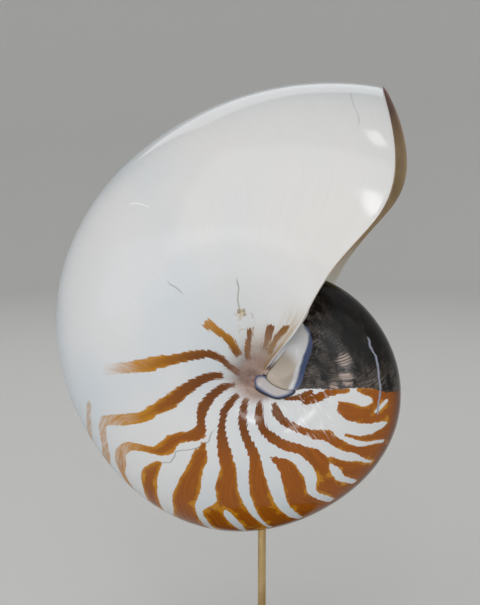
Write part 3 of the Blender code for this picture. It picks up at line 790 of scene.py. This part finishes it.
    # the callus: a beige lobe, white and then blue where it meets the film, over a smaller grey one
    outline = add("MapRange", [lower, -1.0, -0.3], **smooth)
    outline = add("Math", [outline, add("MapRange", [angle, 150.0, 110.0], **smooth)], **times)
    colour = add("Mix", [outline, colour, paint["line"]], **rgba)
    lowerEdge = add("MapRange", [lower, 0.1, 1.3], **smooth)
    lowerColour = add("Mix", [lowerEdge, paint["callusBlue"], paint["callusGrey"]], **rgba)
    lowerAmount = add("MapRange", [lower, -0.1, 0.15], **smooth)
    colour = add("Mix", [lowerAmount, colour, lowerColour], **rgba)
    tip = add("MapRange", [across, 0.76, 0.66], **smooth)
    whiter = add("Math", [tip, add("MapRange", [film, -2.4, -1.2], **smooth)], operation="MAXIMUM")
    upperColour = add("Mix", [whiter, paint["callus"], paint["callusWhite"]], **rgba)
    blue = add("MapRange", [film, -0.9, 0.4], **smooth)
    upperColour = add("Mix", [blue, upperColour, paint["callusBlue"]], **rgba)
    seam = add("MapRange", [upper, 0.7, 0.1], **smooth)
    seam = add("Math", [seam, add("MapRange", [across, 0.78, 0.86])], **times)
    upperColour = add("Mix", [seam, upperColour, paint["callusSeam"]], **rgba)
    upperAmount = add("MapRange", [upper, -0.1, 0.15], **smooth)
    colour = add("Mix", [upperAmount, colour, upperColour], **rgba)

    # fine scratches below the callus: relief in the bump and a painted white glint along them
    marks = markings["scratches"]
    scratched = add("VectorMath", [where, marks["centre"]], output="Value", operation="DISTANCE")
    scratched = add("MapRange", [scratched, marks["reach"], marks["full"]], **smooth)
    oblique = add("Mapping", {"Vector": where, "Rotation": (0.0, marks["tilt"], 0.0), "Scale": marks["size"]},
                  vector_type="TEXTURE")
    scratchAndGlint = add("TexNoise", [oblique, 1.0, 2.0])
    scratchAndGlint = add("MapRange", [scratchAndGlint, 0.55, 0.68], **smooth)
    scratchAndGlint = add("Math", [scratched, scratchAndGlint], **times)
    # painted glint: the scratches whitened as if catching a lamp
    scratchGlintAmount = add("Math", [scratchAndGlint, 0.55], **times)
    colour = add("Mix", [scratchGlintAmount, colour, paint["scratchAndGlint"]], **rgba)

    # relief: growth lines everywhere, ripples in the film and the scratches
    height = add("Math", [growth, 0.06, add("Math", [filmAmount, ripples], **times)], **timesPlus)
    height = add("Math", [scratchAndGlint, 0.6, height], **timesPlus)
    bump = add("Bump", {"Strength": 0.6, "Distance": 0.00015, "Height": height})
    rough = add("MapRange", [add("Math", [filmAmount, patches], **times), 0.0, 0.7, 0.09, 0.20])
    add("OutputMaterial", {"Surface": add("BsdfPrincipled", {
        "Base Color": colour, "Roughness": rough, "Normal": bump, "IOR": 1.55, "Specular IOR Level": 0.3})})
    return mat


def nacre():
    # Nacre, the same mineral in flat plates: a satin lining with a soft change of tint, brown behind the lip
    # as painted shade.
    mat, add = newMaterial("nacreGrownSatin")
    where = add("TexCoord", output="Object")
    clouds = add("TexNoise", [where, 40.0, 2.0])  # 25 mm
    across = add("Math", [add("Attribute", output="Fac", attribute_name="place")], operation="ABSOLUTE")
    pearl = add("ValToRGB", [clouds], stops=paint["pearl"])
    tan = add("ValToRGB", [clouds], stops=paint["pearlShaded"])
    # painted shade: the lining browns near the venter just inside the lip
    byVenter = add("MapRange", [across, 0.72, 0.58], **smooth)
    angle = add("Attribute", output="Fac", attribute_name="angle")
    behindLip = add("MapRange", [angle, 268.0, 288.0], **smooth)
    shadeAmount = add("Math", [byVenter, behindLip], **times)
    tint = add("Mix", [shadeAmount, pearl, tan], **rgba)
    ripple = add("TexNoise", [where, 260.0, 2.0])  # 4 mm
    bump = add("Bump", {"Strength": 0.25, "Distance": 0.0001, "Height": ripple})
    add("OutputMaterial", {"Surface": add("BsdfPrincipled", {
        "Base Color": tint, "Normal": bump, "Roughness": 0.3, "IOR": 1.6, "Thin Film Thickness": 420.0})})
    return mat


shellObject = shellPiece([aragonite(), nacre()])
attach(shellObject, "root")
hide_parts("shell")
print("shell grown:", len(shellObject.data.polygons), "faces")


# the stand, from its rod down

rod = dict(edge=0.0003, edgeSteps=4, steps=48, tint=((0.35, "#c0a06c"), (0.65, "#d8bd8c")),
           roughness=0.3, dullRoughness=0.45)


def brass():
    # Brass, drawn to a rod and dulled by handling: a warm metal with faint lengthwise draw marks.
    mat, add = newMaterial("brassDrawn")
    where = add("TexCoord", output="Object")
    marks = add("TexNoise", [add("Mapping", {"Vector": where, "Scale": (4000.0, 4000.0, 60.0)}), 1.0, 3.0])
    dull = add("TexNoise", [where, 160.0, 3.0])  # 6 mm
    tint = add("ValToRGB", [dull], stops=rod["tint"])
    rough = add("MapRange", [dull, 0.0, 1.0, rod["roughness"], rod["dullRoughness"]])
    bump = add("Bump", {"Strength": 0.2, "Distance": 0.00005, "Height": marks})
    add("OutputMaterial", {"Surface": add("BsdfPrincipled", {
        "Base Color": tint, "Roughness": rough, "Normal": bump, "Metallic": 1.0})})
    return mat


def rodPiece():
    profile = roundedEdges(rodRadius, rodLow[2], rodHigh[2], rod["edge"], rod["edgeSteps"])
    return turned("rodDrawn", profile, rod["steps"], [brass()])


rodObject = rodPiece()
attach(rodObject, "root")
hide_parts("rod")

base = dict(bore=0.0018, boreEdge=0.0004, recessRadius=0.0075, recessDepth=0.007, topEdge=0.0022,
            footEdge=0.0010, edgeSteps=8, steps=160, pore="#1a0f0a", roughness=0.38, poreRoughness=0.7,
            grain=((0.30, "#2a170e"), (0.48, "#4a2c1a"), (0.56, "#3a2114"), (0.72, "#6b442a")),
            askew=(0.06, 0.04, 0.3))  # how the grain lies in the disc, in radians


def walnut():
    # Walnut, turned and oiled: long dark fibres with open pores, and a satin sheen between them.
    mat, add = newMaterial("walnutTurnedOiled")
    where = add("TexCoord", output="Object")
    lie = {"Vector": where, "Rotation": base["askew"]}
    bent = add("Mapping", {**lie, "Scale": (22.0, 190.0, 240.0)})  # 5 mm rings
    thin = add("Mapping", {**lie, "Scale": (130.0, 2500.0, 2500.0)})  # 0.4 mm
    rings = add("TexNoise", {"Vector": bent, "Scale": 1.0, "Detail": 5.0, "Distortion": 0.6})
    pores = add("TexNoise", [thin, 1.0, 2.0])
    tint = add("ValToRGB", [rings], stops=base["grain"])
    openPores = add("MapRange", [pores, 0.60, 0.72], **smooth)
    shade = add("Mix", [openPores, tint, base["pore"]], **rgba)
    rough = add("MapRange", [openPores, 0.0, 1.0, base["roughness"], base["poreRoughness"]])
    bump = add("Bump", {"Strength": 0.4, "Distance": 0.0001, "Height": openPores}, invert=True)
    add("OutputMaterial", {"Surface": add("BsdfPrincipled", {
        "Base Color": shade, "Roughness": rough, "Normal": bump})})
    return mat


def basePiece():
    low, high, radius = baseLow[2], baseHigh[2], baseHigh[0]
    ceiling = low + base["recessDepth"]
    top, foot, steps = base["topEdge"], base["footEdge"], base["edgeSteps"]
    profile = [(base["bore"], ceiling), (base["recessRadius"], ceiling), (base["recessRadius"], low),
               *arc((radius - foot, low + foot), foot, -90, 0, steps // 2),
               *arc((radius - top, high - top), top, 0, 90, steps),
               (base["bore"] + base["boreEdge"], high), (base["bore"], high - base["boreEdge"])]
    return turned("baseTurned", profile, base["steps"], [walnut()])


baseObject = basePiece()
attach(baseObject, "root")
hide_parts("base")


fastening = dict(mottle=((0.35, "#a9adb0"), (0.65, "#c3c6c8")), roughness=0.3, dullRoughness=0.45)


def platedSteel():
    # Steel with a thin zinc plating: a cool grey metal, faintly mottled.
    mat, add = newMaterial("steelZincPlated")
    mottle = add("TexNoise", [add("TexCoord", output="Object"), 900.0, 2.0])  # 1 mm
    tint = add("ValToRGB", [mottle], stops=fastening["mottle"])
    rough = add("MapRange", [mottle, 0.0, 1.0, fastening["roughness"], fastening["dullRoughness"]])
    add("OutputMaterial", {"Surface": add("BsdfPrincipled", {
        "Base Color": tint, "Roughness": rough, "Metallic": 1.0})})
    return mat


steel = platedSteel()
for name in ("washer", "nut"):
    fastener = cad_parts[name]
    fastener.data.materials.clear()
    fastener.data.materials.append(steel)

felt = dict(edge=0.0006, edgeSteps=4, steps=160, wool=((0.3, "#151c19"), (0.7, "#2c3632")))


def pressedFelt():
    # Wool felt, pressed from tangled fibres: matt and clumped. The clumps are drawn at 0.5 mm, since single
    # fibres are too fine to show.
    mat, add = newMaterial("feltPressed")
    clumps = add("TexNoise", [add("TexCoord", output="Object"), 2000.0, 4.0, 0.7])
    tint = add("ValToRGB", [clumps], stops=felt["wool"])
    bump = add("Bump", {"Strength": 0.6, "Distance": 0.0003, "Height": clumps})
    add("OutputMaterial", {"Surface": add("BsdfPrincipled", {
        "Base Color": tint, "Normal": bump, "Roughness": 0.95, "Sheen Weight": 0.4})})
    return mat


def feltPiece():
    low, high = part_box("felt_pad")
    profile = roundedEdges(high[0], low[2], high[2], felt["edge"], felt["edgeSteps"])
    return turned("feltPad", profile, felt["steps"], [pressedFelt()])


feltObject = feltPiece()
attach(feltObject, "root")
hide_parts("felt_pad")
print("stand made")


# floor, light and camera

studio = dict(
    floorRadius=1.3, sweep=0.5, sweepSteps=24, wallTop=1.6, steps=96, floorColour="#dededc",
    worldStrength=0.37, coolTint="#e4ecff",
    # lights by azimuth and elevation round the shell, distance, width, height and watts
    lights=dict(
        key=(-14.0, 32.0, 1.35, 1.4, 1.1, 5.2),
        fill=(42.0, 22.0, 1.35, 1.2, 1.2, 1.6),
        coolPanel=(-42.0, 3.0, 1.2, 0.85, 0.6, 1.6),
        overhead=(-160.0, 47.0, 1.2, 1.2, 0.62, 3.0),
        highPaneLeft=(13.2, 66.0, 1.2, 0.036, 0.22, 0.19),
        highPaneRight=(18.8, 66.0, 1.2, 0.036, 0.22, 0.19),
        lowWindow=(3.0, 36.0, 1.2, 0.13, 0.16, 0.50),
        sideWindow=(26.5, 11.5, 1.2, 0.13, 0.26, 0.80),
        lowGlint=(2.0, -6.0, 0.45, 0.08, 0.04, 0.06),
    ),
)


def mattPaint():
    # Emulsion, rolled on a smooth floor: an even matt pale grey with the roller's faint stipple.
    mat, add = newMaterial("emulsionRolled")
    stipple = add("TexNoise", [add("TexCoord", output="Object"), 500.0, 2.0])
    bump = add("Bump", {"Strength": 0.05, "Distance": 0.0001, "Height": stipple})
    add("OutputMaterial", {"Surface": add("BsdfPrincipled", {
        "Base Color": studio["floorColour"], "Roughness": 0.85, "Normal": bump})})
    return mat


def floorPiece():
    # a round floor that sweeps up to a wall, so that no horizon shows from any side
    sweep = arc((studio["floorRadius"], studio["sweep"]), studio["sweep"], -90, 0, studio["sweepSteps"])
    profile = [(0.0, 0.0), *sweep, (studio["floorRadius"] + studio["sweep"], studio["wallTop"])]
    return turned("studioFloor", profile, studio["steps"], [mattPaint()], closed=False)


def towards(azimuth, elevation):
    # the direction from the shell to something round it: azimuth 0 is in front, at -Y, and 90 at +X
    turn, rise = math.radians(azimuth), math.radians(elevation)
    return Vector((math.sin(turn) * math.cos(rise), -math.cos(turn) * math.cos(rise), math.sin(rise)))


def softLight(name, azimuth, elevation, distance, width, height, watts):
    light = bpy.data.lights.new(name, "AREA")
    light.shape = "RECTANGLE"
    light.size, light.size_y = width, height
    light.energy = watts
    if name == "coolPanel":
        light.color = linearColour(studio["coolTint"])[:3]
    obj = bpy.data.objects.new(name, light)
    obj.location = Vector(axis) + distance * towards(azimuth, elevation)
    obj.rotation_euler = towards(azimuth, elevation).to_track_quat("Z", "Y").to_euler()
    obj.visible_camera = False
    bpy.context.scene.collection.objects.link(obj)


def makeStudio():
    floorPiece()
    world = bpy.data.worlds.new("studio")
    world.use_nodes = True
    sky = world.node_tree.nodes["Background"].inputs
    sky["Color"].default_value = linearColour("#ffffff")
    sky["Strength"].default_value = studio["worldStrength"]
    bpy.context.scene.world = world
    for name, places in studio["lights"].items():
        softLight(name, *places)


# the camera's place is given by where it looks, how far away it is and its angles round the shell
view = dict(azimuth=10.38, elevation=7.68, distance=0.4803, aim=(-0.01128, 0.0, 0.02406),
            sensor=36.0, lens=78.52, clipStart=0.01)


def makeCamera():
    data = bpy.data.cameras.new("camera")
    data.sensor_width, data.lens = view["sensor"], view["lens"]
    data.clip_start = view["clipStart"]
    camera = bpy.data.objects.new("camera", data)
    bpy.context.scene.collection.objects.link(camera)
    back = towards(view["azimuth"], view["elevation"])
    camera.location = Vector(axis) + Vector(view["aim"]) + view["distance"] * back
    camera.rotation_euler = back.to_track_quat("Z", "Y").to_euler()
    bpy.context.scene.camera = camera


makeStudio()
makeCamera()
bpy.context.scene.view_settings.view_transform = "Standard"
print("studio made")
